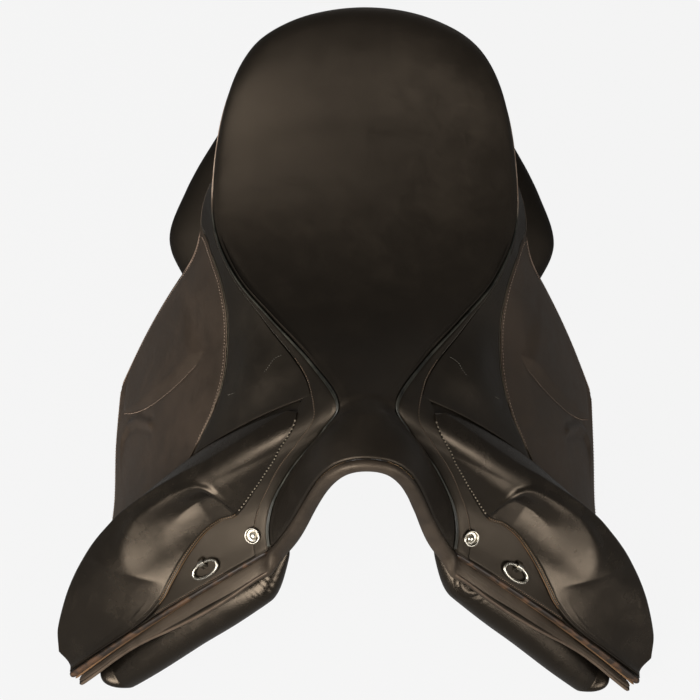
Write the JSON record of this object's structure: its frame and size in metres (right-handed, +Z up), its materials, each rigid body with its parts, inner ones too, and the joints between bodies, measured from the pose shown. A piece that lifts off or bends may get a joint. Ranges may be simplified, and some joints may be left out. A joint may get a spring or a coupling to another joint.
{
  "type": "dressage saddle",
  "caption": "Black dressage saddle with a deep seat, long straight flaps, big outside knee blocks, a wooden tree and flocked panels.",
  "frame": {"origin": "on the floor under the middle of the saddle's bounding box", "axes": "+Y from the pommel to the cantle, +Z up, +X toward the saddle's near (left) side"},
  "size_m": [0.622, 0.5764, 0.4453],
  "materials": {
    "black_leather": "smooth waxed hide, soft sheen",
    "brown_leather": "fine grained hide, satin",
    "lining_leather": "soft lining hide, satin",
    "steel": "forged, satin",
    "nickel": "polished nickel",
    "beech_laminate": "laminated beech, varnished",
    "webbing": "woven nylon webbing",
    "foam": "soft seat foam"
  },
  "bodies": {
    "tree_and_seat": {"apron_left": "black_leather", "apron_right": "black_leather", "arch_lining": "lining_leather", "bar_rivet_1_left": "steel", "bar_rivet_1_right": "steel", "bar_rivet_2_left": "steel", "bar_rivet_2_right": "steel", "billet_web_left": "webbing", "billet_web_right": "webbing", "cantle_board": "beech_laminate", "cantle_facing": "black_leather", "front_roll_left": "black_leather", "front_roll_right": "black_leather", "gullet_plate": "steel", "head_arch": "beech_laminate", "head_plate": "steel", "panel_left": "black_leather", "panel_right": "black_leather", "rail_left": "beech_laminate", "rail_right": "beech_laminate", "seat_border_left": "black_leather", "seat_border_right": "black_leather", "seat_cover": "black_leather", "seat_foam": "foam", "seat_piping_left": "black_leather", "seat_piping_right": "black_leather", "seat_webbing": "webbing", "stirrup_bar_left": "steel", "stirrup_bar_right": "steel", "stud_left": "nickel", "stud_right": "nickel", "sweat_flap_left": "black_leather", "sweat_flap_right": "black_leather", "sweat_piping_left": "lining_leather", "sweat_piping_right": "lining_leather"},
    "flap_left": {"flap_left": "black_leather", "flap_facing_left": "brown_leather", "knee_block_left": "black_leather", "front_tab_left": "black_leather", "ring_staple_left": "nickel", "edge_roll_left": "lining_leather"},
    "skirt_left": {"skirt_left": "black_leather"},
    "ring_left": {"d_ring_left": "nickel"},
    "billet_front_left": {"billet_front_left": "brown_leather"},
    "billet_rear_left": {"billet_rear_left": "brown_leather"},
    "catch_left": {"bar_catch_left": "steel"},
    "flap_right": {"flap_right": "black_leather", "flap_facing_right": "brown_leather", "knee_block_right": "black_leather", "front_tab_right": "black_leather", "ring_staple_right": "nickel", "edge_roll_right": "lining_leather"},
    "skirt_right": {"skirt_right": "black_leather"},
    "ring_right": {"d_ring_right": "nickel"},
    "billet_front_right": {"billet_front_right": "brown_leather"},
    "billet_rear_right": {"billet_rear_right": "brown_leather"},
    "catch_right": {"bar_catch_right": "steel"}
  },
  "joints": [
    {"name": "flap_lift_left", "type": "hinge", "parent": "tree_and_seat", "child": "flap_left", "pos_m": [0.0458, -0.13645, 0.3684], "axis": [-0.4699, -0.8719, 0.1378], "range_deg": [0, 30]},
    {"name": "skirt_lift_left", "type": "hinge", "parent": "flap_left", "child": "skirt_left", "pos_m": [0.0458, -0.13645, 0.3684], "axis": [-0.4699, -0.8719, 0.1378], "range_deg": [0, 35]},
    {"name": "ring_swing_left", "type": "hinge", "parent": "flap_left", "child": "ring_left", "pos_m": [0.15975, -0.22333, 0.18291], "axis": [-0.7244, 0.1677, 0.6686], "range_deg": [0, 140]},
    {"name": "billet_front_swing_left", "type": "hinge", "parent": "tree_and_seat", "child": "billet_front_left", "pos_m": [0.13441, -0.07467, 0.2688], "axis": [0.7947, -0.1563, 0.5866], "range_deg": [-5, 2]},
    {"name": "billet_rear_swing_left", "type": "hinge", "parent": "tree_and_seat", "child": "billet_rear_left", "pos_m": [0.14979, -0.02402, 0.25893], "axis": [0.8442, -0.1636, 0.5105], "range_deg": [-5, 2]},
    {"name": "catch_turn_left", "type": "hinge", "parent": "tree_and_seat", "child": "catch_left", "pos_m": [0.09977, -0.04148, 0.32253], "axis": [0.7045, -0.2199, 0.6747], "range_deg": [0, 60]},
    {"name": "flap_lift_right", "type": "hinge", "parent": "tree_and_seat", "child": "flap_right", "pos_m": [-0.0458, -0.13645, 0.3684], "axis": [-0.4699, 0.8719, -0.1378], "range_deg": [0, 30]},
    {"name": "skirt_lift_right", "type": "hinge", "parent": "flap_right", "child": "skirt_right", "pos_m": [-0.0458, -0.13645, 0.3684], "axis": [-0.4699, 0.8719, -0.1378], "range_deg": [0, 35]},
    {"name": "ring_swing_right", "type": "hinge", "parent": "flap_right", "child": "ring_right", "pos_m": [-0.15975, -0.22333, 0.18291], "axis": [-0.7244, -0.1677, -0.6686], "range_deg": [0, 140]},
    {"name": "billet_front_swing_right", "type": "hinge", "parent": "tree_and_seat", "child": "billet_front_right", "pos_m": [-0.13441, -0.07467, 0.2688], "axis": [0.7947, 0.1563, -0.5866], "range_deg": [-5, 2]},
    {"name": "billet_rear_swing_right", "type": "hinge", "parent": "tree_and_seat", "child": "billet_rear_right", "pos_m": [-0.14979, -0.02402, 0.25893], "axis": [0.8442, 0.1636, -0.5105], "range_deg": [-5, 2]},
    {"name": "catch_turn_right", "type": "hinge", "parent": "tree_and_seat", "child": "catch_right", "pos_m": [-0.09977, -0.04148, 0.32253], "axis": [0.7045, 0.2199, -0.6747], "range_deg": [0, 60]}
  ]
}
